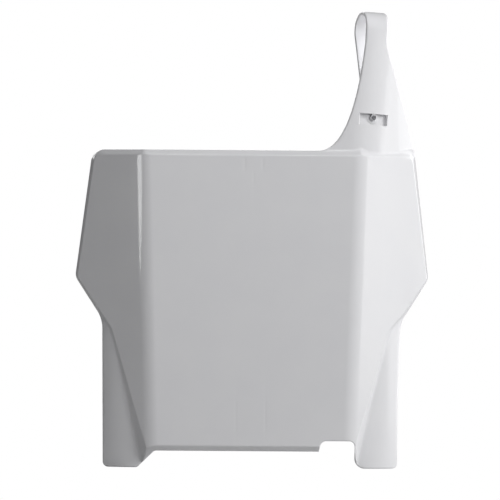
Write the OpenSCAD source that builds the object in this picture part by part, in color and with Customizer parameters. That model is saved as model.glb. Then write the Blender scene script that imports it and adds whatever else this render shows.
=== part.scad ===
// Front number board of an off-road motorcycle, moulded as one thin shell.
// A flat face carries the number. Two wings bend back beside the fork legs, two curved feet reach
// down in front of them, and a neck on one side runs up into a strap that loops over the handlebar
// and hooks on behind a window in the neck.
// The board stands upright and its face looks to -Y. The origin is the middle of the flat face,
// +Z is up and the neck is on the +X side.

/* [Shell] */
// Wall thickness of the whole moulding
wall = 2.2; // [1.6:0.1:3]
// Width of the sloping rim round the face, measured in the face
rim_width = 3.9; // [3:0.1:5]
// How steeply that rim falls away from the face
rim_angle = 40; // [32:1:48]

/* [Face and wings] */
// Height of the upper edge above the middle of the face
top_edge = 114; // [105:1:125]
// Depth of the lower edge below the middle of the face
bottom_edge = 112; // [104:1:118]
// Half the distance between the two bends at the upper edge
bend_half_top = 82.2; // [76:0.2:88]
// Half the distance between the two bends at the lower edge
bend_half_bottom = 75.2; // [70:0.2:80]
// Outside radius of the bends
bend_radius = 20; // [12:1:30]
// How far each wing is turned back from the face
wing_turn = 34; // [28:1:38]
// Half width of the board at its upper edge
half_top = 119.4; // [114:0.2:124]
// Half width of the board at its widest
half_wide = 131.6; // [126:0.2:136]
// Height of the widest place above the middle of the face
wide_height = 18; // [5:1:40]
// Half width of the board at the waist, above the feet
half_waist = 111.3; // [108:0.2:115]
// Depth of the waist below the middle of the face
waist_drop = 13.5; // [5:0.5:25]
// Radius of the upper corners, seen from the front
corner_radius = 10; // [5:1:16]
// Radius at the widest place
wide_radius = 9; // [3:1:15]
// Radius of the hollow at the waist
waist_radius = 22; // [8:1:30]

/* [Feet] */
// Depth of the feet below the middle of the face
foot_reach = 124.8; // [120:0.2:135]
// Half width over the feet at their lower end
half_foot = 110.2; // [106:0.2:114]
// Radius of the outer lower corner of each foot
foot_corner = 4; // [2:0.5:8]
// Outside radius of the curve that wraps each foot round its fork leg
foot_radius = 45; // [38:1:60]
// Distance of that curve's axis from the middle of the board
foot_axis = 80; // [76:1:84]
// How far the front of a foot lies behind the face
foot_setback = 12; // [11:0.5:16]
// Half distance between the two creases at the lower edge
crease_half_bottom = 77.6; // [74:0.2:80]
// Half distance between the two creases at their upper end
crease_half_top = 104.4; // [100:0.2:106]
// Depth of the creases' upper end below the middle of the face
crease_drop = 20.5; // [16:0.5:26]
// How steeply the step at a crease falls away from the wing
crease_angle = 30; // [24:1:40]
// Where the slanting inner edge of the plain foot leaves the lower edge
slant_top = 72; // [66:0.5:75]
// Where that slanting edge reaches the lower end of the foot
slant_bottom = 84.6; // [80:0.2:90]
// Radius of the two corners at the ends of that slanting edge
slant_radius = 3; // [1.5:0.5:5]

/* [Notch] */
// Near side of the notch in the lower edge, from the middle of the board
notch_near = 50; // [40:0.5:60]
// How far that side leans towards the notch's middle on its way up
notch_lean = 1.5; // [0.5:0.5:4]
// Far side of the notch, which is also the inner edge of the foot there
notch_far = 78.1; // [77:0.1:80]
// Depth of the notch's roof below the middle of the face
notch_roof = 104; // [98:0.5:108]
// Radius of the corners in the notch
notch_radius = 4.5; // [2:0.5:6]
// Radius of the lower corner of the foot beside the notch
notch_foot_radius = 8; // [4:0.5:10]

/* [Neck] */
// Where the neck's inner edge leaves the upper edge
neck_foot = 51; // [46:0.5:58]
// How far the neck's inner edge runs out level before it turns up
neck_sweep_out = 14.5; // [8:0.5:20]
// How far down the upright part of that edge begins to turn out
neck_sweep_up = 58.5; // [50:0.5:66]
// Lean of that upright part to the outside
neck_side_lean = 6.5; // [4:0.5:11]
// Place of the neck's own bend at the upper edge
neck_bend = 87.4; // [85:0.2:90]
// Outside radius of the neck's bend
neck_radius = 45; // [36:1:55]
// How far the outer side of the neck is turned back
neck_turn = 38; // [36:1:42]
// How far the neck lies behind the face where it starts
neck_setback = 3.8; // [3.4:0.1:5]
// Lean of the neck away from the rider's view, to the rear
neck_lean = 5; // [2:0.5:9]
// Lean of the neck's bend to the outside
neck_tilt = 6; // [4:0.5:8]
// How far the neck's outer edge meets the wing's side outside the upper corner
neck_stand = 0.6; // [0:0.2:2]
// Distance along the outer side of the neck from its bend to the folded flange
flange_place = 28; // [25:0.5:32]
// How far the flange is turned back from the outer side of the neck
flange_turn = 12; // [8:1:18]
// Lean of the flange's fold towards the neck's bend, going up
flange_skew = 9; // [5:1:12]
// Height at which the flange starts above the upper edge
flange_start = 5; // [3:0.5:9]

/* [Strap] */
// Width of the strap
strap_width = 17.6; // [15:0.1:19]
// Sideways place of the strap's middle from the middle of the neck's bend
strap_shift = -0.7; // [-1.5:0.1:0.5]
// Inside radius of the loop that takes the handlebar
loop_radius = 11.5; // [10:0.5:14]
// Height of the loop's axis above the upper edge
loop_height = 92.6; // [87:0.2:100]
// How far the strap faces to the outside
strap_turn = 17; // [14:0.5:20]
// Lean of the strap to the outside
strap_tilt = 2; // [0:0.5:4]
// Distance of the strap's tip below the loop's axis
tail_length = 76; // [72:1:82]
// Distance below the loop's axis at which the two legs of the strap meet
legs_meet = 50; // [42:1:54]
// Gap between the neck and the strap's tail behind it
tail_gap = 1.4; // [1.2:0.1:2]

/* [Window and hook] */
// Width of the window in the neck
window_width = 22.4; // [18:0.2:22.6]
// Height of the window
window_height = 8.5; // [7.5:0.1:10]
// Distance of the window's middle below the loop's axis
window_drop = 68.3; // [66:0.1:70]
// Sideways place of the window's middle from the strap's
window_shift = 0.5; // [-1:0.1:1.5]
// Diameter of the peg that the strap's tail hooks on to
peg_diameter = 4.5; // [3.5:0.1:5.5]
// Height of the peg's axis above the window's middle
peg_rise = 1.4; // [0.5:0.1:1.8]
// Diameter of the peg's head behind the strap
head_diameter = 7.4; // [6.5:0.1:8.5]
// Thickness of the peg's head
head_thickness = 1.6; // [1.2:0.1:2.4]
// Clearance between the peg and the strap's hole, and behind the strap
hook_clearance = 0.35; // [0.25:0.05:0.6]
// Diameter of the raised ring round the strap's hole
ring_diameter = 9.3; // [8.5:0.1:10]
// Height of that ring
ring_height = 0.4; // [0.2:0.1:0.5]

/* [Sockets on the back] */
// Thickness of the ribs on the back
rib = 1.8; // [1.2:0.1:2.4]
// Distance between the middles of the lower socket's two ribs
socket_pitch = 22; // [16:0.5:30]
// Height of the lower socket
socket_height = 25; // [18:1:35]
// Depth of the lower socket's foot above the lower edge
socket_rise = 14; // [10:0.5:20]
// How far the lower socket stands out behind the wall
socket_reach = 14; // [10:0.5:18]
// Distance between the middles of the upper lug's two ribs
lug_pitch = 13.5; // [10:0.5:20]
// Height of the upper lug
lug_height = 12; // [8:0.5:16]
// How far the upper lug stands out behind the wall
lug_reach = 10; // [6:0.5:13]
// Height of the gusset under the upper lug
gusset_height = 10; // [6:0.5:16]

/* [Hidden] */
$fn = 96;
// Reaches past the whole board from any place on it
far = 400;
// Depth of the space in which the shell is cut out, behind the deepest edge of a wing
back_limit = 46;
// Overlap that fuses one form into the next
fuse = 1;
// Largest step of an arc in an outline, in degrees
arc_step = 12;
// Stretches in which the neck's curved edge is drawn
neck_steps = 16;
// Lean of each bend in the plane of the face
bend_tilt = atan((bend_half_top - bend_half_bottom) / (top_edge + bottom_edge));
// Place of each bend level with the middle of the face
bend_half = bend_half_bottom + bottom_edge * tan(bend_tilt);
// Width of the rim along the wing's side, as the front view foreshortens it
rim_side = rim_width * (cos(wing_turn) - tan(rim_angle) * sin(wing_turn));
// How far the lower half of the face reaches up past the creases
halves_overlap = 8;
// How far below the loop's axis the neck turns into the strap
strap_root = 11.4;
// Height on the neck at which the strap takes over
strap_start = top_edge + loop_height - strap_root;
// Facets that round the rim at each upper corner
corner_facets = 3;
// How far a foot's curve runs up behind the wing above the crease
foot_head = 17;
// How far the neck's surface runs on behind the upper edge
neck_root = 1.2 * rim_width;
// Slope of the flange's lower end
flange_slope = 45;
// Axis of the neck's bend, along the tangent of its flat side
neck_axis = -neck_radius * tan(neck_turn / 2);
// Middle of the strap where it takes over, in the front view
strap_middle = neck_bend + (strap_start - top_edge) * tan(neck_tilt) + neck_axis
    + neck_radius * sin(strap_turn) + strap_shift * cos(strap_turn);

// Corner points of the face's right half, inside the rim
face_corner = [half_top - rim_side, top_edge - rim_width];
face_wide = [half_wide - rim_side, wide_height];
crease_top = [crease_half_top, -crease_drop];
crease_bottom = [crease_half_bottom, -bottom_edge];

// Points on an outline's rounded corner between its two neighbours
function corner_arc(before, here, after) =
    let (
        p = [here.x, here.y],
        to_before = [before.x, before.y] - p,
        to_after = [after.x, after.y] - p,
        a = to_before / norm(to_before),
        b = to_after / norm(to_after),
        half = acos(a * b) / 2,
        room = min(norm(to_before), norm(to_after)) / 2,
        radius = min(here.z, room * tan(half)),
        middle = p + (a + b) / norm(a + b) * radius / sin(half),
        start = p + a * radius / tan(half) - middle,
        swing = (180 - 2 * half) * sign(a.x * b.y - a.y * b.x) * -1,
        steps = ceil(abs(swing) / arc_step)
    )
    [for (i = [0:steps]) let (t = swing * i / steps)
        middle + [start.x * cos(t) - start.y * sin(t), start.x * sin(t) + start.y * cos(t)]];

// An outline with each of its corners [x, z, radius] rounded
function rounded(corners) =
    let (n = len(corners))
    [for (i = [0:n - 1])
        each corners[i].z == 0 ? [[corners[i].x, corners[i].y]]
            : corner_arc(corners[(i + n - 1) % n], corners[i], corners[(i + 1) % n])];

// Point at t on the smooth curve that four control points pull
function pulled(a, b, c, d, t) =
    a * pow(1 - t, 3) + b * 3 * t * pow(1 - t, 2) + c * 3 * t * t * (1 - t) + d * pow(t, 3);

// Where a point of the front view lies in the plane of the right wing
function on_wing(p) =
    let (x = p.x - bend_half)
    [(x * cos(bend_tilt) - p.y * sin(bend_tilt)) / cos(wing_turn),
        x * sin(bend_tilt) + p.y * cos(bend_tilt)];

// Plane of the right wing: X runs out along it, Z runs up its bend and -Y faces forward
module in_wing() {
    translate([bend_half, 0, 0]) rotate([0, bend_tilt, 0]) rotate([0, 0, wing_turn]) children();
}

// Flat side of the neck, at the foot of its bend
module in_neck() {
    translate([neck_bend, neck_setback, top_edge]) rotate([-neck_lean, neck_tilt, 0]) children();
}

// Front of the strap at the height of the loop's axis, facing -Y
module in_strap() {
    in_neck() translate([neck_axis, neck_radius, 0]) rotate([0, 0, strap_turn])
        translate([strap_shift, -neck_radius, loop_height])
            rotate([0, strap_tilt - neck_tilt, 0]) children();
}

// All the space behind the plane y = inset
module behind(inset) {
    translate([-far, inset, -far]) cube(2 * far);
}

// All the space below the level z = 0
module below() {
    translate([-far, -far, -2 * far]) cube(2 * far);
}

// All the space behind the rim plane that falls away from the edge between two points
module behind_rim(from, to, slope, inset) {
    edge = to - from;
    translate([from.x, 0, from.y]) rotate([0, -atan2(edge.x, -edge.y), 0]) rotate([0, 0, slope])
        behind(inset);
}

// Plan of the space behind a flat side, a bend whose tangents cross at the origin, and a wing
module bent_plan(radius, turn, inset) {
    axis = -radius * tan(turn / 2);
    union() {
        translate([-far, inset]) square([far + axis, far]);
        translate([axis, radius]) circle(radius - inset);
        translate([axis, radius]) rotate(turn) translate([0, inset - radius]) square(far);
    }
}

// Space behind the flat face and the right wing
module behind_board(inset) {
    translate([bend_half, 0, 0]) rotate([0, bend_tilt, 0]) translate([0, 0, -far])
        linear_extrude(2 * far) bent_plan(bend_radius, wing_turn, inset);
}

// Rounds the rim with a few sloping facets where two of its edges meet at here
module behind_corner(before, here, after, radius, inset) {
    a = (here - before) / norm(here - before);
    b = (after - here) / norm(after - here);
    normal_a = [-a.y, a.x];
    normal_b = [-b.y, b.x];
    middle = here - (normal_a + normal_b) * radius / (1 + normal_a * normal_b);
    intersection_for (i = [1:corner_facets]) {
        share = i / (corner_facets + 1);
        blend = normal_a * (1 - share) + normal_b * share;
        normal = blend / norm(blend);
        start = middle + normal * radius;
        behind_rim(start, start + [normal.y, -normal.x], rim_angle, inset);
    }
}

// Right half of the space behind the upper part of the face, down to the widest place and past it
module upper_half(inset) {
    intersection() {
        behind_board(inset);
        behind_rim([0, face_corner.y], [1, face_corner.y], rim_angle, inset);
        behind_rim([0, rim_width - bottom_edge], [-1, rim_width - bottom_edge], rim_angle, inset);
        in_wing() intersection() {
            behind_rim(on_wing([0, face_corner.y]), on_wing(face_corner), rim_angle, inset);
            behind_rim(on_wing(face_corner), on_wing(face_wide), rim_angle, inset);
            behind_rim(on_wing(face_wide), on_wing(crease_top), rim_angle, inset);
            behind_corner(on_wing([0, face_corner.y]), on_wing(face_corner), on_wing(face_wide),
                corner_radius - rim_width, inset);
        }
    }
}

// Right half of the space behind the lower part of the face, between the creases
module lower_half(inset) {
    intersection() {
        behind_board(inset);
        behind_rim([0, rim_width - bottom_edge], [-1, rim_width - bottom_edge], rim_angle, inset);
        in_wing() behind_rim(on_wing(crease_top), on_wing(crease_bottom), crease_angle, inset);
        translate([0, 0, halves_overlap - crease_drop]) below();
    }
}

// Space behind the whole raised face
module face_space(inset) {
    intersection() {
        upper_half(inset);
        mirror([1, 0, 0]) upper_half(inset);
    }
    intersection() {
        lower_half(inset);
        mirror([1, 0, 0]) lower_half(inset);
    }
}

// Space behind the curved fronts of the two feet
module feet_space(inset) {
    for (side = [-1, 1])
        translate([side * foot_axis, foot_setback + foot_radius, -far])
            cylinder(h = far - crease_drop + foot_head, r = foot_radius - inset);
}

// Space behind the neck, with its bend and its folded flange
module neck_space(inset) {
    intersection() {
        in_neck() translate([0, 0, -neck_root]) linear_extrude(far) bent_plan(neck_radius, neck_turn, inset);
        in_neck() rotate([0, 0, neck_turn]) union() {
            translate([flange_place, 0, 0]) rotate([0, -flange_skew, 0]) rotate([0, 0, flange_turn])
                behind(inset);
            translate([0, inset, flange_start]) rotate([flange_slope, 0, 0]) below();
        }
        translate([neck_foot - rim_width, -far, -far]) cube(2 * far);
    }
}

// Silhouette of the shell in the front view, clockwise from the upper left corner
module silhouette() {
    strap_left = strap_middle - strap_width / 2 * cos(strap_turn);
    strap_right = strap_middle + strap_width / 2 * cos(strap_turn);
    start = [neck_foot, top_edge];
    end = [strap_left, strap_start + fuse];
    upright = neck_sweep_up * [sin(neck_side_lean), cos(neck_side_lean)];
    neck_curve = [for (i = [0:neck_steps])
        let (p = pulled(start, start + [neck_sweep_out, 0], end - upright, end, i / neck_steps))
        [p.x, p.y, 0]];
    polygon(rounded([
        [-half_top, top_edge, corner_radius],
        each neck_curve,
        [strap_right, strap_start + fuse, 0],
        [strap_right, strap_start - fuse, 0],
        [half_top + neck_stand, top_edge, wide_radius],
        [half_wide, wide_height, wide_radius],
        [half_waist, -waist_drop, waist_radius],
        [half_foot, -foot_reach, foot_corner],
        [notch_far, -foot_reach, notch_foot_radius],
        [notch_far, -notch_roof, notch_radius],
        [notch_near + notch_lean, -notch_roof, notch_radius],
        [notch_near, -bottom_edge, 0],
        [-slant_top, -bottom_edge, slant_radius],
        [-slant_bottom, -foot_reach, slant_radius],
        [-half_foot, -foot_reach, foot_corner],
        [-half_waist, -waist_drop, waist_radius],
        [-half_wide, wide_height, wide_radius],
    ]));
}

// Space behind the foot of the rim, above the creases
module rim_foot() {
    depth = rim_width * tan(rim_angle) + wall / cos(rim_angle) + fuse;
    difference() {
        intersection() {
            behind(depth);
            in_wing() behind(depth);
            mirror([1, 0, 0]) in_wing() behind(depth);
        }
        translate([0, 0, -crease_drop]) below();
    }
}

// The thin shell: each front surface backed by one even wall, opened behind the others' walls
module shell() {
    intersection() {
        union() {
            difference() {
                face_space(0);
                face_space(wall);
                rim_foot();
                feet_space(wall);
                neck_space(wall);
            }
            difference() {
                feet_space(0);
                feet_space(wall);
                face_space(wall);
            }
            difference() {
                neck_space(0);
                neck_space(wall);
                face_space(wall);
            }
        }
        translate([0, back_limit, 0]) rotate([90, 0, 0]) linear_extrude(back_limit + fuse) silhouette();
    }
}

// Side view of the strap, with its front at y = 0 and the loop's axis level with z = 0
module strap_profile() {
    outer = loop_radius + wall;
    middle = loop_radius + wall / 2;
    axis = [outer, 0];
    tail_y = wall + tail_gap + wall / 2;
    meet = [tail_y, -legs_meet];
    span = norm(axis - meet);
    slope = atan((axis.x - meet.x) / legs_meet) + asin(middle / span);
    leg = sqrt(span * span - middle * middle);
    intersection() {
        translate(axis) difference() {
            circle(outer);
            circle(loop_radius);
        }
        along_leg = [far * cos(slope), -far * sin(slope)];
        translate(axis) polygon([[0, 0], along_leg, [far, far], [-far, far], [-far, 0]]);
    }
    translate([0, -strap_root - fuse]) square([wall, strap_root + fuse]);
    translate(meet) rotate(-slope) translate([-wall / 2, 0]) square([wall, leg]);
    translate(meet) circle(d = wall);
    translate([tail_y - wall / 2, -tail_length]) square([wall, tail_length - legs_meet]);
}

// The strap with the ring and the hole in its tail
module strap() {
    tail_front = wall + tail_gap;
    difference() {
        union() {
            translate([-strap_width / 2, 0, 0]) rotate([90, 0, 90]) linear_extrude(strap_width)
                strap_profile();
            at_peg() translate([0, tail_front - ring_height, 0]) rotate([-90, 0, 0])
                cylinder(h = ring_height + fuse, d = ring_diameter);
        }
        at_peg() rotate([-90, 0, 0]) cylinder(h = 4 * wall, d = peg_diameter + 2 * hook_clearance);
    }
}

// Axis of the peg in the strap's frame
module at_peg() {
    translate([0, 0, peg_rise - window_drop]) children();
}

// The peg behind the neck that holds the strap's tail, and the web that it hangs on
module peg() {
    tail_back = 2 * wall + tail_gap;
    web_top = window_height / 2 - peg_rise + fuse;
    at_peg() {
        rotate([-90, 0, 0]) translate([0, 0, fuse])
            cylinder(h = tail_back + hook_clearance + head_thickness - fuse, d = peg_diameter);
        rotate([-90, 0, 0]) translate([0, 0, tail_back + hook_clearance])
            cylinder(h = head_thickness, d = head_diameter);
        translate([-peg_diameter / 4, fuse, 0]) cube([peg_diameter / 2, wall - fuse, web_top]);
    }
}

// The window through the neck's wall
module window() {
    translate([window_shift - window_width / 2, -wall, -window_drop - window_height / 2])
        cube([window_width, 4 * wall, window_height]);
}

// Box on the back that drops over the tongue of the lower fork clamp
module lower_socket() {
    foot = socket_rise - bottom_edge;
    for (side = [-1, 1])
        translate([side * socket_pitch / 2 - rib / 2, wall - fuse, foot])
            cube([rib, socket_reach + fuse, socket_height]);
    translate([-socket_pitch / 2 - rib / 2, wall + socket_reach - rib, foot])
        cube([socket_pitch + rib, rib, socket_height]);
}

// Lug on the back at the upper edge: two ribs, a shelf between them and a gusset under it
module upper_lug() {
    roof = top_edge - rim_width;
    shelf = roof - lug_height;
    for (side = [-1, 1])
        translate([side * lug_pitch / 2 - rib / 2, wall - fuse, shelf])
            cube([rib, lug_reach + fuse, lug_height]);
    translate([-lug_pitch / 2, wall - fuse, shelf]) cube([lug_pitch, lug_reach + fuse, rib]);
    translate([-rib / 2, 0, shelf + rib / 2]) rotate([90, 0, 90]) linear_extrude(rib)
        polygon([[wall - fuse, 0], [wall + lug_reach, 0], [wall - fuse, -gusset_height - rib / 2]]);
}

module number_board() {
    color("white") union() {
        difference() {
            shell();
            in_strap() window();
        }
        in_strap() strap();
        in_strap() peg();
        lower_socket();
        upper_lug();
    }
}

number_board();
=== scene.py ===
import math

import bmesh
import bpy
import numpy as np
from mathutils import Euler, Matrix, Vector
from mathutils.geometry import interpolate_bezier


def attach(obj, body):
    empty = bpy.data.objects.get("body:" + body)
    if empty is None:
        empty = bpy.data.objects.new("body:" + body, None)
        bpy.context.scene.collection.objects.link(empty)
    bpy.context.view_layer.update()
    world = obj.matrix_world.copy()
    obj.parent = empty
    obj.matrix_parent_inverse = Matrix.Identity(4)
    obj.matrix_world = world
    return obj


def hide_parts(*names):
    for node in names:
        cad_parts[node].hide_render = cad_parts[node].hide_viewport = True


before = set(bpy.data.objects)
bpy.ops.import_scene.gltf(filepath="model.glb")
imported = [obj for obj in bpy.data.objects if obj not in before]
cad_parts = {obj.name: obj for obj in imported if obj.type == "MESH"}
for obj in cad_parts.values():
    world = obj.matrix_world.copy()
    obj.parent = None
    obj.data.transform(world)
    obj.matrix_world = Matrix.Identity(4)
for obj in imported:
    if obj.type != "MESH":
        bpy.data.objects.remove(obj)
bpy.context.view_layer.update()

# Everything is worked out in millimetres and degrees, and shrunk to metres at the end.
# X is across the board, Y runs to its back and Z is up.
mm = 0.001
nowhere = 1000.0
near = 0.01

shell = {
    "wall": 2.2, "rimWidth": 3.9, "rimAngle": 40,
    "topEdge": 114, "bottomEdge": 112,
    "bendTop": 82.2, "bendBottom": 75.2, "bendRadius": 20, "bendSteps": 18, "wingTurn": 34,
    "halfTop": 119.4, "halfWide": 131.6, "wideHeight": 18, "halfWaist": 111.3, "waistDrop": 13.5,
    "cornerRadius": 10, "cornerSteps": 9, "wideRadius": 9, "waistRadius": 22, "arcStep": 7,
    # Rounding of the outline, in front and behind
    "edgeRound": 0.8, "backRound": 0.4,
    # How softly the rim starts, its sides meet and the creases end
    "rimSoft": 0.5, "mitreSoft": 1.2, "sideSoft": 4.0, "creaseSoft": 1.3,
    "weld": 0.002, "sharpAngle": 38,
}
feet = {
    "reach": 124.8, "halfFoot": 110.2, "rightFoot": 111.2, "radius": 45, "axis": 80, "setback": 12,
    "creaseBottom": 77.6, "creaseTop": 104.4, "creaseDrop": 20.5, "creaseRise": 8, "creaseAngle": 30,
    "slantTop": 72, "slantBottom": 84.6, "slantRadius": 3, "corner": 4, "head": 17,
    "notchNear": 51.5, "notchLean": 1.7, "notchFar": 78.6, "notchRoof": 104,
    "notchRadius": 4.5, "notchFootRadius": 8,
}
neck = {
    "foot": 49.6, "sweepOut": 14.9, "sweepUp": 58.5, "sweepPoints": 33, "sideLean": 6.5,
    "bend": 87.4, "radius": 45, "turn": 38, "steps": 24, "rootShare": 1.2,
    "setback": 3.8, "lean": 5, "tilt": 6, "stand": 0.6, "soft": 1.2, "foldSoft": 0.5,
    "flangePlace": 28, "flangeTurn": 12, "flangeSkew": 9, "flangeStart": 5,
    # Rounder inner edge: its radius, and where it starts and ends upward and across
    "innerRound": 1.5, "roundAbove": 1, "roundRise": 6, "roundPast": 2, "roundFade": 4,
}
strap = {
    "width": 17.6, "shift": -0.7, "turn": 17, "tilt": 2, "root": 11.4, "lap": 1, "end": 2,
    "loopRadius": 11.5, "loopHeight": 92.6, "loopSteps": 34, "crestWide": 0.14,
    "rises": (-5.5, -3.5, -1.5), "flattenSteps": 7,
    "legsMeet": 50, "tailGap": 1.4, "softTurn": 7.0, "turnSteps": 8,
    # The tail: its width at each distance below the place where the legs meet, and where it starts to curl
    "tailWidths": [(8.5, 1.03), (10, 1.14), (11.5, 1.28), (13, 1.36), (16, 1.38), (19, 1.38), (22, 1.38),
                   (25, 1.37), (25.6, 1.33), (26, 1.25)],
    "curlFrom": 15, "curlOver": 27,
    "windowWidth": 22.4, "windowHeight": 8.5, "windowDrop": 68.3, "windowShift": 0.5,
    "cutterDeep": 12, "cutterFront": 4, "leftBevel": 1.2, "slantWide": 4, "slantDeep": 3,
    "peg": 4.5, "pegRise": 1.4, "pegStart": 0.9, "pegLap": 0.5, "pegSoft": 0.3, "pegWall": 0.35,
    "hollowFront": 1, "hollowDeep": 6,
    "head": 7.4, "headThick": 1.6, "headBack": 0.8, "clearance": 0.35,
    "ring": 9.3, "ringHeight": 0.4, "ringSunk": 0.2, "ringDeep": 1.7, "ringSoft": 0.15,
    "holeBefore": 1.5, "holeAfter": 3,
}
# Sink marks in the face, where a rib stands behind it: across, lower end, upper end, depth
sinkMarks = [
    (-5.8, 97.5, 109.0, 0.13), (7.7, 97.5, 109.0, 0.13), (0.8, 88.0, 98.0, 0.12),
    (-11.2, -98.0, -73.5, 0.10), (10.9, -98.0, -73.5, 0.12),
]
sinkWidth = 0.9
sinkFade = 2


def sine(angle):
    return math.sin(math.radians(angle))


def cosine(angle):
    return math.cos(math.radians(angle))


def tangent(angle):
    return math.tan(math.radians(angle))


def turned(x, y, z):
    return Euler((math.radians(x), math.radians(y), math.radians(z)), "XYZ").to_matrix().to_4x4()


def moved(x, y, z):
    return Matrix.Translation((x, y, z))


bendTilt = math.degrees(math.atan((shell["bendTop"] - shell["bendBottom"])
                                  / (shell["topEdge"] + shell["bottomEdge"])))
bendHalf = shell["bendBottom"] + shell["bottomEdge"] * tangent(bendTilt)
rimSide = shell["rimWidth"] * (cosine(shell["wingTurn"]) - tangent(shell["rimAngle"]) * sine(shell["wingTurn"]))
strapStart = shell["topEdge"] + strap["loopHeight"] - strap["root"] + strap["lap"]
neckAxis = -neck["radius"] * tangent(neck["turn"] / 2)
strapMiddle = neck["bend"] + (strapStart - strap["lap"] - shell["topEdge"]) * tangent(neck["tilt"])
strapMiddle = strapMiddle + neckAxis + neck["radius"] * sine(strap["turn"])
strapMiddle += strap["shift"] * cosine(strap["turn"])

inWing = moved(bendHalf, 0, 0) @ turned(0, bendTilt, 0) @ turned(0, 0, shell["wingTurn"])
inNeck = moved(neck["bend"], neck["setback"], shell["topEdge"]) @ turned(-neck["lean"], neck["tilt"], 0)
inStrap = (inNeck @ moved(neckAxis, neck["radius"], 0) @ turned(0, 0, strap["turn"])
           @ moved(strap["shift"], -neck["radius"], strap["loopHeight"])
           @ turned(0, strap["tilt"] - neck["tilt"], 0))

# Feature lines of the right half, in the front view
faceCorner = Vector((shell["halfTop"] - rimSide, shell["topEdge"] - shell["rimWidth"]))
faceWide = Vector((shell["halfWide"] - rimSide, shell["wideHeight"]))
creaseTop = Vector((feet["creaseTop"], -feet["creaseDrop"]))
creaseBottom = Vector((feet["creaseBottom"], -shell["bottomEdge"]))
topMiddle = Vector((0, faceCorner.y))
lowMiddle = Vector((0, shell["rimWidth"] - shell["bottomEdge"]))


def onWing(p):
    # Where a point of the front view lies in the plane of the wing
    x = p.x - bendHalf
    return Vector(((x * cosine(bendTilt) - p.y * sine(bendTilt)) / cosine(shell["wingTurn"]),
                   x * sine(bendTilt) + p.y * cosine(bendTilt)))


def rimAt(start, end, slope):
    # Frame of the slope that falls away from an edge
    edge = end - start
    return (moved(start.x, 0, start.y) @ turned(0, -math.degrees(math.atan2(edge.x, -edge.y)), 0)
            @ turned(0, 0, slope))


def bendFrames(place, radius, turn, steps):
    # Frames that touch the outside of a bend, from its flat side to its wing
    axis = -radius * tangent(turn / 2)
    found = []
    for i in range(steps + 1):
        a = turn * i / steps
        found.append(place @ moved(axis + radius * sine(a), radius - radius * cosine(a), 0) @ turned(0, 0, a))
    return found


def cornerFrames(before, here, after, radius, steps):
    # Slopes that round the rim where two of its edges meet
    a = (here - before).normalized()
    b = (after - here).normalized()
    normalA = Vector((-a.y, a.x))
    normalB = Vector((-b.y, b.x))
    middle = here - (normalA + normalB) * radius / (1 + normalA.dot(normalB))
    found = []
    for i in range(1, steps):
        normal = normalA.lerp(normalB, i / steps).normalized()
        start = middle + normal * radius
        found.append(rimAt(start, start + Vector((normal.y, -normal.x)), shell["rimAngle"]))
    return found


bendSet = bendFrames(moved(bendHalf, 0, 0) @ turned(0, bendTilt, 0), shell["bendRadius"], shell["wingTurn"],
                     shell["bendSteps"])
topFlat = rimAt(topMiddle, topMiddle + Vector((1, 0)), shell["rimAngle"])
lowFlat = rimAt(lowMiddle, lowMiddle - Vector((1, 0)), shell["rimAngle"])
topWing = inWing @ rimAt(onWing(topMiddle), onWing(faceCorner), shell["rimAngle"])
cornerSet = [inWing @ m for m in cornerFrames(onWing(topMiddle), onWing(faceCorner), onWing(faceWide),
                                               shell["cornerRadius"] - shell["rimWidth"], shell["cornerSteps"])]
sideHigh = inWing @ rimAt(onWing(faceCorner), onWing(faceWide), shell["rimAngle"])
sideLow = inWing @ rimAt(onWing(faceWide), onWing(creaseTop), shell["rimAngle"])
creaseStep = inWing @ rimAt(onWing(creaseTop), onWing(creaseBottom), feet["creaseAngle"])
neckSet = bendFrames(inNeck, neck["radius"], neck["turn"], neck["steps"])
flangeFold = (inNeck @ turned(0, 0, neck["turn"]) @ moved(neck["flangePlace"], 0, 0)
              @ turned(0, -neck["flangeSkew"], 0) @ turned(0, 0, neck["flangeTurn"]))
flangeEnd = (inNeck @ turned(0, 0, neck["turn"]) @ moved(0, 0, neck["flangeStart"])
             @ turned(45, 0, 0) @ turned(-90, 0, 0))


def depthOf(place, inset, x, z):
    # How deep the plane y = inset of a frame lies at x and z
    p = place @ Vector((0, inset, 0))
    m = place.to_3x3() @ Vector((0, -1, 0))
    return p.y - (m.x * (x - p.x) + m.z * (z - p.z)) / m.y


def deepest(places, inset, x, z):
    return np.max([depthOf(m, inset, x, z) for m in places], axis=0)


def softMax(a, b, soft):
    return np.maximum(a, b) + np.maximum(soft - np.abs(a - b), 0) ** 2 / (4 * soft)


def softMin(a, b, soft):
    return -softMax(-a, -b, soft)


def faceDepth(x, z, inset):
    x = np.abs(x)
    bend = deepest(bendSet, inset, x, z)
    low = depthOf(lowFlat, inset, x, z)
    rim = deepest([topWing, sideHigh] + cornerSet, inset, x, z)
    rim = softMax(rim, depthOf(topFlat, inset, x, z), shell["mitreSoft"])
    rim = softMax(rim, depthOf(sideLow, inset, x, z), shell["sideSoft"])
    upper = softMax(softMax(bend, rim, shell["rimSoft"]), low, shell["rimSoft"])
    lower = softMax(bend, depthOf(creaseStep, inset, x, z), shell["rimSoft"])
    lower = softMax(lower, low, shell["rimSoft"])
    lower = np.where(z > feet["creaseRise"] - feet["creaseDrop"], nowhere, lower)
    return np.minimum(upper, lower)


def footDepth(x, z, inset):
    room = (feet["radius"] - inset) ** 2 - (np.abs(x) - feet["axis"]) ** 2
    y = feet["setback"] + feet["radius"] - np.sqrt(np.maximum(room, 0))
    return np.where((room <= 0) | (z > feet["head"] - feet["creaseDrop"]), nowhere, y)


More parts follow.
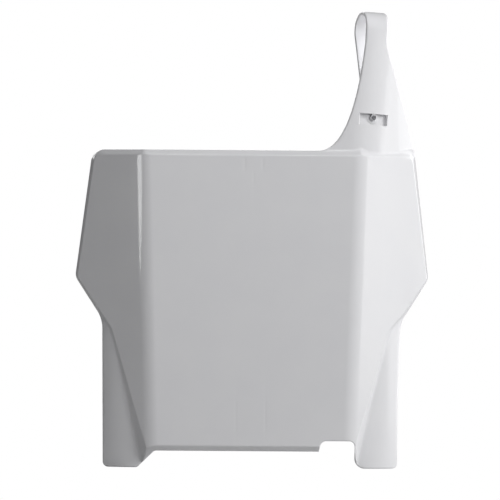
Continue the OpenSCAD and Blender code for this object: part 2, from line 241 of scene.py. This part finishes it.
def neckDepth(x, z, inset):
    fold = np.minimum(depthOf(flangeFold, inset, x, z), depthOf(flangeEnd, inset, x, z))
    y = softMax(deepest(neckSet, inset, x, z), fold, neck["foldSoft"])
    root = shell["topEdge"] - neck["rootShare"] * shell["rimWidth"]
    return np.where((x < neck["foot"] - shell["rimWidth"]) | (z < root), nowhere, y)


def frontDepth(x, z):
    y = softMin(faceDepth(x, z, 0), footDepth(x, z, 0), shell["creaseSoft"])
    y = softMin(y, neckDepth(x, z, 0), neck["soft"])
    for across, low, high, deep in sinkMarks:
        ends = np.clip((z - low) / sinkFade, 0, 1), np.clip((high - z) / sinkFade, 0, 1)
        y = y + deep * np.exp(-((x - across) / sinkWidth) ** 2) * ends[0] * ends[1]
    return y


def backDepth(x, z):
    wall = shell["wall"]
    face, foot, nape = faceDepth(x, z, wall), footDepth(x, z, wall), neckDepth(x, z, wall)
    # The face's own space ends just behind its rim
    depth = shell["rimWidth"] * tangent(shell["rimAngle"]) + wall / cosine(shell["rimAngle"]) + 1
    rimFoot = np.maximum(depth, depthOf(inWing, depth, np.abs(x), z))
    rimFoot = np.where(z < -feet["creaseDrop"], nowhere, rimFoot)
    ofFace = np.minimum(np.minimum(face, rimFoot), np.minimum(foot, nape))
    ofNeck = np.minimum(nape, face)
    ofFoot = np.minimum(foot, face)
    y = np.where(ofFace > faceDepth(x, z, 0), ofFace, -nowhere)
    y = np.maximum(y, np.where(ofNeck > neckDepth(x, z, 0), ofNeck, -nowhere))
    return np.maximum(y, np.where(ofFoot > footDepth(x, z, 0), ofFoot, -nowhere))


def outlineOfBoard():
    # Corners of the front view as x, z and radius, clockwise from the upper left
    strapHalf = strap["width"] / 2 * cosine(strap["turn"])
    start = Vector((neck["foot"], shell["topEdge"]))
    end = Vector((strapMiddle - strapHalf, strapStart))
    upright = neck["sweepUp"] * Vector((sine(neck["sideLean"]), cosine(neck["sideLean"])))
    curve = interpolate_bezier(start, start + Vector((neck["sweepOut"], 0)), end - upright, end,
                               neck["sweepPoints"])
    corners = [(-shell["halfTop"], shell["topEdge"], shell["cornerRadius"])]
    corners += [(p[0], p[1], 0) for p in curve]
    corners += [
        (strapMiddle + strapHalf, strapStart, 0),
        (strapMiddle + strapHalf, strapStart - strap["end"], 0),
        (shell["halfTop"] + neck["stand"], shell["topEdge"], shell["wideRadius"]),
        (shell["halfWide"], shell["wideHeight"], shell["wideRadius"]),
        (shell["halfWaist"], -shell["waistDrop"], shell["waistRadius"]),
        (feet["rightFoot"], -feet["reach"], feet["corner"]),
        (feet["notchFar"], -feet["reach"], feet["notchFootRadius"]),
        (feet["notchFar"], -feet["notchRoof"], feet["notchRadius"]),
        (feet["notchNear"] + feet["notchLean"], -feet["notchRoof"], feet["notchRadius"]),
        (feet["notchNear"], -shell["bottomEdge"], 0),
        (-feet["slantTop"], -shell["bottomEdge"], feet["slantRadius"]),
        (-feet["slantBottom"], -feet["reach"], feet["slantRadius"]),
        (-feet["halfFoot"], -feet["reach"], feet["corner"]),
        (-shell["halfWaist"], -shell["waistDrop"], shell["waistRadius"]),
        (-shell["halfWide"], shell["wideHeight"], shell["wideRadius"]),
    ]
    return corners


def roundCorners(bm, corners, verts):
    # Each corner is bevelled with its own radius
    count = len(corners)
    for i, (x, z, radius) in enumerate(corners):
        if radius == 0:
            continue
        here = Vector((x, z))
        a = (Vector(corners[i - 1][:2]) - here).normalized()
        b = (Vector(corners[(i + 1) % count][:2]) - here).normalized()
        half = a.angle(b) / 2
        steps = max(3, math.ceil(math.degrees(math.pi - 2 * half) / shell["arcStep"]))
        bmesh.ops.bevel(bm, geom=[verts[i]], offset=radius / math.tan(half), offset_type="OFFSET",
                        segments=steps, profile=0.5, affect="VERTICES", material=-1, clamp_overlap=True)


def cut(bm, x, z, dx, dz):
    # Cuts the flat sheet along the line through x, z
    bmesh.ops.bisect_plane(bm, geom=bm.verts[:] + bm.edges[:] + bm.faces[:], dist=near,
                           plane_co=(x, 0, z), plane_no=Vector((-dz, 0, dx)).normalized())


def cutBeside(bm, start, end, offsets, sides=(1,)):
    # Cuts along lines beside an edge of the front view
    edge = (end - start).normalized()
    normal = Vector((-edge.y, edge.x))
    for side in sides:
        for o in offsets:
            p = start + normal * o
            cut(bm, side * p.x, p.y, side * edge.x, edge.y)


def distanceToOutline(x, z, outline):
    # The strap's own end is left out, because the strap runs on there
    best = np.full(len(x), nowhere)
    for i, a in enumerate(outline):
        b = outline[(i + 1) % len(outline)]
        if abs(a[1] - strapStart) < near and abs(b[1] - strapStart) < near:
            continue
        ex, ez = b[0] - a[0], b[1] - a[1]
        along = np.clip(((x - a[0]) * ex + (z - a[1]) * ez) / (ex * ex + ez * ez), 0, 1)
        best = np.minimum(best, np.hypot(x - a[0] - along * ex, z - a[1] - along * ez))
    return best


def edgeFall(distance, radius):
    inside = np.clip(radius - distance, 0, radius)
    return radius - np.sqrt(radius ** 2 - inside ** 2)


# Where the flat sheet is cut, so that it has vertices wherever its depth bends. The rows of cuts that run
# beside a feature line are distances, and the even rows are a first cut, a step and a count.
grid = {
    "insets": (0.1, 0.17, 0.25, 0.38, 0.6),
    "rim": (-1.9, -1.3, -0.9, -0.5, -0.15, 0.15, 0.5, 0.9, 1.3, 1.9),
    "sideHigh": (-1.6, -1.0, -0.6, -0.3, 0, 0.3, 0.6),
    "sideLow": (-2.4, -1.6, -1.0, -0.6, -0.3, 0, 0.4, 0.8, 1.6),
    "crease": (-1.9, -1.3, -0.9, -0.5, -0.15, 0.2, 0.6, 1.0, 1.6, 2.3, 3.0, 3.7, 4.4, 5.2, 6, 7, 8, 9.5),
    "flange": (-0.9, -0.4, 0, 0.4, 0.9), "flangeLength": 50,
    "sink": (-2.2, -1.4, -0.8, -0.3, 0.3, 0.8, 1.4, 2.2),
    "heights": (-3.4, -12.6, -20.45, -20.55, -98, -96, -75.5, -73.5, 88, 90, 96, 97.5, 99.5),
    "wing": (64, 3, 17), "top": (113.2, -1.4, 9), "middle": (30, -5, 14),
    "bendParts": 17.0, "bendCuts": 19, "neckParts": 20.0, "neckCuts": 24,
    # Cuts up the neck, which lie further apart as they climb
    "neckFirst": 0.3, "neckStep": 0.25, "neckGrowth": 0.126,
}


def evenly(row):
    first, step, count = row
    return [first + step * i for i in range(count)]


def cutSheet(bm):
    both = (-1, 1)
    cutBeside(bm, topMiddle, faceCorner, grid["rim"])
    cutBeside(bm, lowMiddle, lowMiddle + Vector((1, 0)), grid["rim"])
    cutBeside(bm, faceCorner, faceWide, grid["sideHigh"], both)
    cutBeside(bm, faceWide, creaseTop, grid["sideLow"], both)
    cutBeside(bm, creaseTop, creaseBottom, grid["crease"], both)
    bendAxis = -shell["bendRadius"] * tangent(shell["wingTurn"] / 2)
    for side in both:
        for i in range(-1, grid["bendCuts"]):
            turn = shell["wingTurn"] * i / grid["bendParts"]
            across = bendHalf + bendAxis + shell["bendRadius"] * sine(turn)
            cut(bm, side * across, 0, side * tangent(bendTilt), 1)
        for x in evenly(grid["wing"]):
            cut(bm, side * x, 0, 0, 1)
    for z in evenly(grid["top"]):
        cut(bm, 0, z, 1, 0)
    for i in range(grid["neckCuts"]):
        across = neck["bend"] + neckAxis + neck["radius"] * sine(neck["turn"] * i / grid["neckParts"])
        cut(bm, across, shell["topEdge"], tangent(neck["tilt"]), 1)
    for i in range(grid["neckCuts"]):
        cut(bm, 0, shell["topEdge"] + grid["neckFirst"] + grid["neckStep"] * i + grid["neckGrowth"] * i * i, 1, 0)
    for o in grid["flange"]:
        foot = flangeFold @ Vector((o, 0, 0))
        tip = flangeFold @ Vector((o, 0, grid["flangeLength"]))
        cut(bm, foot.x, foot.z, tip.x - foot.x, tip.z - foot.z)
    for across, low, high, deep in sinkMarks:
        for o in grid["sink"]:
            cut(bm, across + o, 0, 0, 1)
    for z in grid["heights"]:
        cut(bm, 0, z, 1, 0)
    for z in evenly(grid["middle"]):
        cut(bm, 0, z, 1, 0)


def innerEdge(x, z):
    # How much a place belongs to the inner edge of the neck and strap, which is rounder than the rest
    above = np.clip((z - shell["topEdge"] - neck["roundAbove"]) / neck["roundRise"], 0, 1)
    return above * np.clip((strapMiddle + neck["roundPast"] - x) / neck["roundFade"], 0, 1)


def buildShell():
    # A flat sheet with the front view's outline, drawn back into the front and back surfaces
    bm = bmesh.new()
    corners = outlineOfBoard()
    verts = [bm.verts.new((x, 0, z)) for x, z, radius in corners]
    bm.faces.new(verts)
    roundCorners(bm, corners, verts)
    outline = [(v.co.x, v.co.z) for v in bm.faces[:][0].verts]
    for width in grid["insets"]:
        sheet = max(bm.faces, key=lambda face: face.calc_area())
        bmesh.ops.inset_region(bm, faces=[sheet], thickness=width, use_even_offset=True, use_boundary=True)
    print("outline", len(outline), "points")
    cutSheet(bm)
    print("sheet", len(bm.faces), "faces")

    bm.verts.ensure_lookup_table()
    front = bm.verts[:]
    made = bmesh.ops.extrude_face_region(bm, geom=bm.faces[:], use_keep_orig=True)
    back = [v for v in made["geom"] if isinstance(v, bmesh.types.BMVert)]
    for verts, depth, radius, way in ((front, frontDepth, shell["edgeRound"], 1),
                                      (back, backDepth, shell["backRound"], -1)):
        x = np.array([v.co.x for v in verts])
        z = np.array([v.co.z for v in verts])
        if verts is front:
            radius = radius + (neck["innerRound"] - radius) * innerEdge(x, z)
        y = depth(x, z) + way * edgeFall(distanceToOutline(x, z, outline), radius)
        for v, deep in zip(verts, y):
            v.co.y = deep
    bmesh.ops.recalc_face_normals(bm, faces=bm.faces[:])
    return bm


def toObject(bm, name):
    mesh = bpy.data.meshes.new(name)
    bm.to_mesh(mesh)
    bm.free()
    piece = bpy.data.objects.new(name, mesh)
    bpy.context.scene.collection.objects.link(piece)
    return piece


def block(name, place, size, low, soft=0.0):
    # A box with its lowest corner at low, in a given frame
    bm = bmesh.new()
    bmesh.ops.create_cube(bm, size=1)
    bmesh.ops.scale(bm, vec=size, verts=bm.verts[:])
    bmesh.ops.translate(bm, vec=Vector(low) + Vector(size) / 2, verts=bm.verts[:])
    if soft:
        bmesh.ops.bevel(bm, geom=bm.edges[:], offset=soft, offset_type="OFFSET", segments=3, profile=0.5,
                        affect="EDGES", material=-1)
    bmesh.ops.transform(bm, matrix=place, verts=bm.verts[:])
    bmesh.ops.recalc_face_normals(bm, faces=bm.faces[:])
    return toObject(bm, name)


def rod(name, place, radius, low, high, soft=0.0):
    # A round rod along Y of a given frame
    bm = bmesh.new()
    bmesh.ops.create_cone(bm, cap_ends=True, segments=64, radius1=radius, radius2=radius, depth=high - low)
    bmesh.ops.rotate(bm, matrix=Matrix.Rotation(math.radians(90), 3, "X"), verts=bm.verts[:])
    bmesh.ops.translate(bm, vec=(0, (low + high) / 2, 0), verts=bm.verts[:])
    if soft:
        rims = [e for e in bm.edges if any(len(face.verts) > 4 for face in e.link_faces)]
        bmesh.ops.bevel(bm, geom=rims, offset=soft, offset_type="OFFSET", segments=3, profile=0.5,
                        affect="EDGES", material=-1)
    bmesh.ops.transform(bm, matrix=place, verts=bm.verts[:])
    bmesh.ops.recalc_face_normals(bm, faces=bm.faces[:])
    return toObject(bm, name)


def combine(piece, others, how):
    # Applies one exact boolean after another and drops the tools
    for other in others:
        tool = piece.modifiers.new("combine", "BOOLEAN")
        tool.operation = how
        tool.solver = "EXACT"
        tool.object = other
    graph = bpy.context.evaluated_depsgraph_get()
    mesh = bpy.data.meshes.new_from_object(piece.evaluated_get(graph))
    piece.modifiers.clear()
    old = piece.data
    piece.data = mesh
    bpy.data.meshes.remove(old)
    for other in others:
        bpy.data.objects.remove(other)


def strapPath():
    # Middle of the strap and its outward direction in the strap's own side view, as y, z and an angle
    wall = shell["wall"]
    middle = strap["loopRadius"] + wall / 2
    axis = Vector((strap["loopRadius"] + wall, 0))
    meet = Vector((wall + strap["tailGap"] + wall / 2, -strap["legsMeet"]))
    span = (axis - meet).length
    slope = math.degrees(math.atan((axis.x - meet.x) / strap["legsMeet"]) + math.asin(middle / span))
    path = [(wall / 2, z, 180) for z in strap["rises"]]
    steps = strap["loopSteps"]
    for i in range(steps + 1):
        a = 180 - (180 + slope) * i / steps
        path.append((axis.x + middle * cosine(a), middle * sine(a), a))
    legEnd = axis + middle * Vector((cosine(slope), -sine(slope)))
    down = (meet - legEnd).normalized()
    # The leg turns softly into the upright tail, over this length on either side
    turnAt = strap["softTurn"]
    turnStart, turnEnd = meet - down * turnAt, meet - Vector((0, turnAt))
    for share in (0.25, 0.5, 0.75):
        p = legEnd.lerp(turnStart, share)
        path.append((p.x, p.y, -slope))
    for i in range(strap["turnSteps"] + 1):
        u = i / strap["turnSteps"]
        p = turnStart * (1 - u) ** 2 + meet * 2 * u * (1 - u) + turnEnd * u ** 2
        path.append((p.x, p.y, -slope * (1 - u)))
    return path


def neckFall(side, height):
    # How far the neck's front lies behind the strap's own plane
    skew = strap["tilt"] - neck["tilt"]
    across = strap["shift"] + side * cosine(skew) + height * sine(skew)
    return neck["radius"] - math.sqrt(neck["radius"] ** 2 - across ** 2)


def sweepStrap(bm):
    # The shell's upper end is drawn on round the loop and down behind the neck
    back = inStrap.inverted()
    wall = shell["wall"]
    path = [(p, 1.0) for p in strapPath()]
    end = path[-1][0]
    path += [((end[0], -strap["legsMeet"] - drop, 0), width) for drop, width in strap["tailWidths"]]
    strip = [face for face in bm.faces if all(abs(v.co.z - strapStart) < near for v in face.verts)]
    across = bm.verts.layers.float.new("across")
    inward = bm.verts.layers.float.new("inward")
    for v in {v for face in strip for v in face.verts}:
        q = back @ v.co
        v[across], v[inward] = q.x, q.y
    for i, ((py, pz, angle), width) in enumerate(path):
        made = bmesh.ops.extrude_face_region(bm, geom=strip)
        bmesh.ops.delete(bm, geom=strip, context="FACES_ONLY")
        strip = [g for g in made["geom"] if isinstance(g, bmesh.types.BMFace)]
        fade = max(0.0, 1 - (i + 1) / strap["flattenSteps"])
        for v in (g for g in made["geom"] if isinstance(g, bmesh.types.BMVert)):
            hollow = neck["radius"] - math.sqrt(neck["radius"] ** 2 - v[across] ** 2)
            deep = wall / 2 - v[inward] + hollow * (1 - fade)
            side = v[across] * width
            if side > 0:
                side *= 1 + strap["crestWide"] * max(0.0, sine(angle)) ** 2
            # Towards its tail the back leg takes the curve of the neck in front of it
            curl = 0
            if py > wall:
                curl = min(1.0, max(0.0, -pz - strap["curlFrom"]) / strap["curlOver"]) * neckFall(side, pz)
            v.co = inStrap @ Vector((side, py + curl + deep * cosine(angle), pz + deep * sine(angle)))
    bmesh.ops.recalc_face_normals(bm, faces=bm.faces[:])


def reload(piece):
    bm = bmesh.new()
    bm.from_mesh(piece.data)
    return bm


def makeBoard():
    board = toObject(buildShell(), "racing_board")
    wall = shell["wall"]
    leftSide = strap["windowShift"] - strap["windowWidth"] / 2
    lift = -strap["windowDrop"] - strap["windowHeight"] / 2
    window = block("window", inStrap, (strap["windowWidth"], strap["cutterDeep"], strap["windowHeight"]),
                   (leftSide, -strap["cutterFront"], lift))
    surface = neckFall(leftSide, -strap["windowDrop"])
    slant = block("slant", inStrap @ moved(leftSide, surface, lift) @ turned(0, 0, 45),
                  (strap["slantWide"], strap["slantDeep"], strap["windowHeight"]),
                  (-strap["slantWide"] / 2, strap["leftBevel"] * cosine(45) - strap["slantDeep"], 0))
    combine(board, [window, slant], "DIFFERENCE")
    print("window", len(board.data.polygons))

    bm = reload(board)
    sweepStrap(bm)
    bm.to_mesh(board.data)
    bm.free()
    print("strap", len(board.data.polygons))

    atPeg = inStrap @ moved(0, 0, strap["pegRise"] - strap["windowDrop"])
    front = wall + strap["tailGap"]
    tail = front + wall
    ring = rod("ring", atPeg, strap["ring"] / 2, front - strap["ringHeight"] + strap["ringSunk"],
               front + strap["ringDeep"], strap["ringSoft"])
    combine(board, [ring], "UNION")
    hole = rod("hole", atPeg, strap["peg"] / 2 + strap["clearance"], front - strap["holeBefore"],
               tail + strap["holeAfter"])
    combine(board, [hole], "DIFFERENCE")
    print("hook", len(board.data.polygons))

    headAt = tail + strap["clearance"] + strap["headBack"]
    peg = rod("peg", atPeg, strap["peg"] / 2, strap["pegStart"], headAt + strap["pegLap"], strap["pegSoft"])
    head = rod("head", atPeg, strap["head"] / 2, headAt, headAt + strap["headThick"], strap["pegSoft"])
    # The web joins the peg to the upper edge of the window
    web = block("web", atPeg, (strap["peg"] / 2, wall - 1, strap["windowHeight"] / 2 - strap["pegRise"] + 1),
                (-strap["peg"] / 4, 1, 0))
    combine(board, [peg, head, web] + makeRibs(), "UNION")
    hollow = rod("hollow", atPeg, strap["peg"] / 2 - strap["pegWall"], -strap["hollowFront"],
                 strap["hollowDeep"])
    combine(board, [hollow], "DIFFERENCE")
    print("ribs", len(board.data.polygons))
    return board


# The ribs stand in the wall by their lap, and shy keeps two of their surfaces from falling together
ribs = {
    "rib": 1.8, "pitch": 22, "height": 25, "rise": 14, "reach": 14,
    "lugPitch": 13.5, "lugHeight": 12, "lugReach": 10, "gusset": 10, "soft": 0.3,
    "lap": 1, "shelfLap": 0.9, "shy": 0.01,
}


def makeRibs():
    # Socket and lug behind the face, with softened edges
    rib, soft, lap, shy = ribs["rib"], ribs["soft"], ribs["lap"], ribs["shy"]
    pitch, lugPitch, lugReach = ribs["pitch"], ribs["lugPitch"], ribs["lugReach"]
    inWall = shell["wall"] - lap
    still = Matrix.Identity(4)
    foot = ribs["rise"] - shell["bottomEdge"]
    shelf = shell["topEdge"] - shell["rimWidth"] - ribs["lugHeight"]
    made = []
    for side in (-1, 1):
        made.append(block("rib", still, (rib, ribs["reach"] + lap, ribs["height"]),
                          (side * pitch / 2 - rib / 2, inWall, foot), soft))
        made.append(block("ear", still, (rib, lugReach + lap, ribs["lugHeight"]),
                          (side * lugPitch / 2 - rib / 2, inWall, shelf), soft))
    made.append(block("plate", still, (pitch + rib - 2 * shy, rib, ribs["height"] - 2 * shy),
                      (-pitch / 2 - rib / 2 + shy, shell["wall"] + ribs["reach"] - rib - shy, foot + shy), soft))
    made.append(block("shelf", still, (lugPitch, lugReach + ribs["shelfLap"], rib),
                      (-lugPitch / 2, inWall, shelf + shy), soft))
    bm = bmesh.new()
    tall = ribs["gusset"] + rib / 2
    bmesh.ops.create_cube(bm, size=1)
    bmesh.ops.scale(bm, vec=(rib, lugReach + lap, tall), verts=bm.verts[:])
    bmesh.ops.translate(bm, vec=(0, inWall + (lugReach + lap) / 2, shelf + rib / 2 - tall / 2), verts=bm.verts[:])
    slope = Vector((0, -tall, lugReach + lap)).normalized()
    bmesh.ops.bisect_plane(bm, geom=bm.verts[:] + bm.edges[:] + bm.faces[:], dist=0.001, clear_inner=True,
                           plane_co=(0, inWall, shelf - ribs["gusset"]), plane_no=slope)
    bmesh.ops.holes_fill(bm, edges=[e for e in bm.edges if e.is_boundary])
    bmesh.ops.recalc_face_normals(bm, faces=bm.faces[:])
    made.append(toObject(bm, "gusset"))
    return made


# The wing on the right: how much further out it reaches, where that starts and fades, and how far it comes forward
right = {
    "more": 3.5, "start": 101, "over": 15, "fade": 60, "atFoot": 0.2, "forward": 0.95, "forwardOver": 30,
}


def smoothStep(share):
    share = min(max(share, 0.0), 1.0)
    return share * share * (3 - 2 * share)


def widenRight(bm):
    # The wing reaches out along its own slope and comes a little forward, so that it stays in the allowed depth
    for v in bm.verts:
        high = smoothStep((v.co.z + right["fade"]) / right["fade"])
        past = v.co.x - right["start"]
        more = right["more"] * smoothStep(past / right["over"]) * (right["atFoot"] + (1 - right["atFoot"]) * high)
        forward = right["forward"] * high * smoothStep(past / right["forwardOver"])
        v.co += Vector((more, more * tangent(shell["wingTurn"]) - forward, 0))


def finishMesh(piece):
    bm = reload(piece)
    widenRight(bm)
    bmesh.ops.remove_doubles(bm, verts=bm.verts[:], dist=shell["weld"])
    bmesh.ops.dissolve_degenerate(bm, dist=shell["weld"], edges=bm.edges[:])
    bmesh.ops.transform(bm, matrix=Matrix.Scale(mm, 4), verts=bm.verts[:])
    for face in bm.faces:
        face.smooth = True
    loose = sum(1 for e in bm.edges if not e.is_manifold)
    print("board", len(bm.faces), "faces,", loose, "open edges")
    bm.to_mesh(piece.data)
    bm.free()
    for layer in ("across", "inward"):
        if layer in piece.data.attributes:
            piece.data.attributes.remove(piece.data.attributes[layer])
    piece.data.set_sharp_from_angle(angle=math.radians(shell["sharpAngle"]))


plastic = {
    "colour": (0.80, 0.80, 0.815), "cloudy": (0.985, 0.985, 0.99), "cloudEnds": (0.35, 0.65),
    "roughness": 0.13, "mottle": 0.02, "mottleSize": 38, "mottleDetail": 3,
    "grain": 0.06, "grainSize": 1400, "grainDeep": 0.00004, "ior": 1.49,
}


def whitePlastic():
    # White moulded plastic: a low gloss, faint clouds from the moulding and very fine grain
    material = bpy.data.materials.new("whitePlastic")
    material.use_nodes = True
    tree = material.node_tree
    shader = tree.nodes["Principled BSDF"]
    place = tree.nodes.new("ShaderNodeTexCoord")
    clouds = tree.nodes.new("ShaderNodeTexNoise")
    clouds.inputs["Scale"].default_value = plastic["mottleSize"]
    clouds.inputs["Detail"].default_value = plastic["mottleDetail"]
    tree.links.new(place.outputs["Object"], clouds.inputs["Vector"])
    tint = tree.nodes.new("ShaderNodeValToRGB")
    dull, clear = tint.color_ramp.elements
    dull.position, clear.position = plastic["cloudEnds"]
    dull.color = [full * share for full, share in zip(plastic["colour"], plastic["cloudy"])] + [1]
    clear.color = (*plastic["colour"], 1)
    tree.links.new(clouds.outputs["Fac"], tint.inputs["Fac"])
    tree.links.new(tint.outputs["Color"], shader.inputs["Base Color"])
    gloss = tree.nodes.new("ShaderNodeMapRange")
    gloss.inputs["To Min"].default_value = plastic["roughness"] - plastic["mottle"]
    gloss.inputs["To Max"].default_value = plastic["roughness"] + plastic["mottle"]
    tree.links.new(clouds.outputs["Fac"], gloss.inputs["Value"])
    tree.links.new(gloss.outputs["Result"], shader.inputs["Roughness"])
    grain = tree.nodes.new("ShaderNodeTexNoise")
    grain.inputs["Scale"].default_value = plastic["grainSize"]
    tree.links.new(place.outputs["Object"], grain.inputs["Vector"])
    bump = tree.nodes.new("ShaderNodeBump")
    bump.inputs["Strength"].default_value = plastic["grain"]
    bump.inputs["Distance"].default_value = plastic["grainDeep"]
    tree.links.new(grain.outputs["Fac"], bump.inputs["Height"])
    tree.links.new(bump.outputs["Normal"], shader.inputs["Normal"])
    shader.inputs["IOR"].default_value = plastic["ior"]
    return material


studioSettings = {
    "target": (-1.5, 0, 39), "distance": 6000, "lens": 576, "sensor": 36, "farthest": 20,
    "azimuth": -2.3, "roll": 0.45,
    "floor": -125.2, "floorSize": 6, "floorTone": 0.5,
    "skyLight": 0.06, "skyColour": (0.97, 0.98, 1.0, 1),
    "loopPlace": (0, 4, -14), "loopAim": (0, 30, -14), "loopSize": (15, 38), "loopEnergy": 0.003,
}

# Softboxes: place, aim, width, height, energy and whether the plastic mirrors it. The fill is at the front right,
# the key well to the right with the edge light behind it, one hangs high in front and one lights the back.
softboxes = {
    "fill": ((1500, -1300, 900), (0, 0, 20), 1400, 1300, 25.0, False),
    "key": ((1500, 60, 200), (60, 20, 30), 1300, 1700, 12.8, True),
    "edge": ((1250, 880, 250), (90, 20, 30), 900, 1400, 9.0, True),
    "high": ((0, -900, 1300), (0, 0, 20), 900, 700, 6.0, True),
    "behind": ((-500, 1500, 900), (0, 0, 20), 1600, 1200, 14.0, True),
}


def paleFloor():
    # White as the camera sees it, pale and matt as the light does
    material = bpy.data.materials.new("paleFloor")
    material.use_nodes = True
    tree = material.node_tree
    tree.nodes.clear()
    out = tree.nodes.new("ShaderNodeOutputMaterial")
    path = tree.nodes.new("ShaderNodeLightPath")
    matt = tree.nodes.new("ShaderNodeBsdfDiffuse")
    tone = studioSettings["floorTone"]
    matt.inputs["Color"].default_value = (tone, tone, tone, 1)
    white = tree.nodes.new("ShaderNodeEmission")
    mix = tree.nodes.new("ShaderNodeMixShader")
    tree.links.new(path.outputs["Is Camera Ray"], mix.inputs["Fac"])
    tree.links.new(matt.outputs["BSDF"], mix.inputs[1])
    tree.links.new(white.outputs["Emission"], mix.inputs[2])
    # Seen from below it is clear, so that the board's lower edge shows
    side = tree.nodes.new("ShaderNodeNewGeometry")
    below = tree.nodes.new("ShaderNodeMath")
    below.operation = "MULTIPLY"
    clear = tree.nodes.new("ShaderNodeBsdfTransparent")
    both = tree.nodes.new("ShaderNodeMixShader")
    tree.links.new(side.outputs["Backfacing"], below.inputs[0])
    tree.links.new(path.outputs["Is Camera Ray"], below.inputs[1])
    tree.links.new(below.outputs["Value"], both.inputs["Fac"])
    tree.links.new(mix.outputs["Shader"], both.inputs[1])
    tree.links.new(clear.outputs["BSDF"], both.inputs[2])
    tree.links.new(both.outputs["Shader"], out.inputs["Surface"])
    return material


def softbox(name, place, aim, width, height, energy):
    light = bpy.data.lights.new(name, "AREA")
    light.shape = "RECTANGLE"
    light.size, light.size_y = width * mm, height * mm
    light.energy = energy
    lamp = bpy.data.objects.new(name, light)
    bpy.context.scene.collection.objects.link(lamp)
    at = Vector(place) * mm
    lamp.location = at
    lamp.rotation_euler = (Vector(aim) * mm - at).to_track_quat("-Z", "Y").to_euler()
    return lamp


# Card that the left bend mirrors as a wedge of light. Its corners run from its foot round to its top, each as
# an azimuth to the left and a height.
cardSettings = {
    "place": (-84, 5), "distance": 300, "glow": 6.5,
    "corners": [(63, 4), (59.8, 16), (55, 30), (49.9, 47), (46.7, 64), (42.3, 98), (42.3, 120), (63, 120)],
}


def addCard():
    bm = bmesh.new()
    x, y = cardSettings["place"]
    far = cardSettings["distance"]
    bm.faces.new([bm.verts.new((x - far * sine(a), y - far * cosine(a), z)) for a, z in cardSettings["corners"]])
    bmesh.ops.transform(bm, matrix=Matrix.Scale(mm, 4), verts=bm.verts[:])
    card = toObject(bm, "studio_card")
    material = bpy.data.materials.new("studioCard")
    material.use_nodes = True
    tree = material.node_tree
    tree.nodes.clear()
    out = tree.nodes.new("ShaderNodeOutputMaterial")
    shine = tree.nodes.new("ShaderNodeEmission")
    shine.inputs["Strength"].default_value = cardSettings["glow"]
    tree.links.new(shine.outputs["Emission"], out.inputs["Surface"])
    card.data.materials.append(material)
    card.visible_camera = False
    card.visible_diffuse = False
    card.visible_transmission = False
    card.visible_shadow = False


def studio():
    settings = studioSettings
    bm = bmesh.new()
    bmesh.ops.create_grid(bm, x_segments=1, y_segments=1, size=settings["floorSize"])
    bmesh.ops.translate(bm, vec=(0, 0, settings["floor"] * mm), verts=bm.verts[:])
    floor = toObject(bm, "studio_floor")
    floor.data.materials.append(paleFloor())

    world = bpy.data.worlds.new("studio")
    bpy.context.scene.world = world
    world.use_nodes = True
    tree = world.node_tree
    tree.nodes.clear()
    out = tree.nodes.new("ShaderNodeOutputWorld")
    sky = tree.nodes.new("ShaderNodeBackground")
    sky.inputs["Color"].default_value = settings["skyColour"]
    sky.inputs["Strength"].default_value = settings["skyLight"]
    white = tree.nodes.new("ShaderNodeBackground")
    white.inputs["Color"].default_value = (1, 1, 1, 1)
    path = tree.nodes.new("ShaderNodeLightPath")
    mix = tree.nodes.new("ShaderNodeMixShader")
    tree.links.new(path.outputs["Is Camera Ray"], mix.inputs["Fac"])
    tree.links.new(sky.outputs["Background"], mix.inputs[1])
    tree.links.new(white.outputs["Background"], mix.inputs[2])
    tree.links.new(mix.outputs["Shader"], out.inputs["Surface"])

    for name, (place, aim, width, height, energy, mirrored) in softboxes.items():
        softbox(name, place, aim, width, height, energy).visible_glossy = mirrored
    # The small card inside the strap's loop
    loopCard = softbox("loop", inStrap @ Vector(settings["loopPlace"]), inStrap @ Vector(settings["loopAim"]),
                       *settings["loopSize"], settings["loopEnergy"])
    loopCard.visible_camera = False
    loopCard.visible_glossy = False
    addCard()

    target = Vector(settings["target"]) * mm
    a = math.radians(settings["azimuth"])
    camera = bpy.data.objects.new("camera", bpy.data.cameras.new("camera"))
    bpy.context.scene.collection.objects.link(camera)
    camera.data.sensor_width = settings["sensor"]
    camera.data.lens = settings["lens"]
    camera.data.clip_end = settings["farthest"]
    camera.location = target + Vector((math.sin(a), -math.cos(a), 0)) * settings["distance"] * mm
    aim = (target - camera.location).to_track_quat("-Z", "Y")
    camera.rotation_euler = (aim.to_matrix() @ Matrix.Rotation(math.radians(settings["roll"]), 3, "Z")).to_euler()
    bpy.context.scene.camera = camera
    bpy.context.scene.view_settings.view_transform = "Standard"


board = makeBoard()
finishMesh(board)
board.data.materials.clear()
board.data.materials.append(whitePlastic())
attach(board, "root")
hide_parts("number_board")
studio()
print("finished")
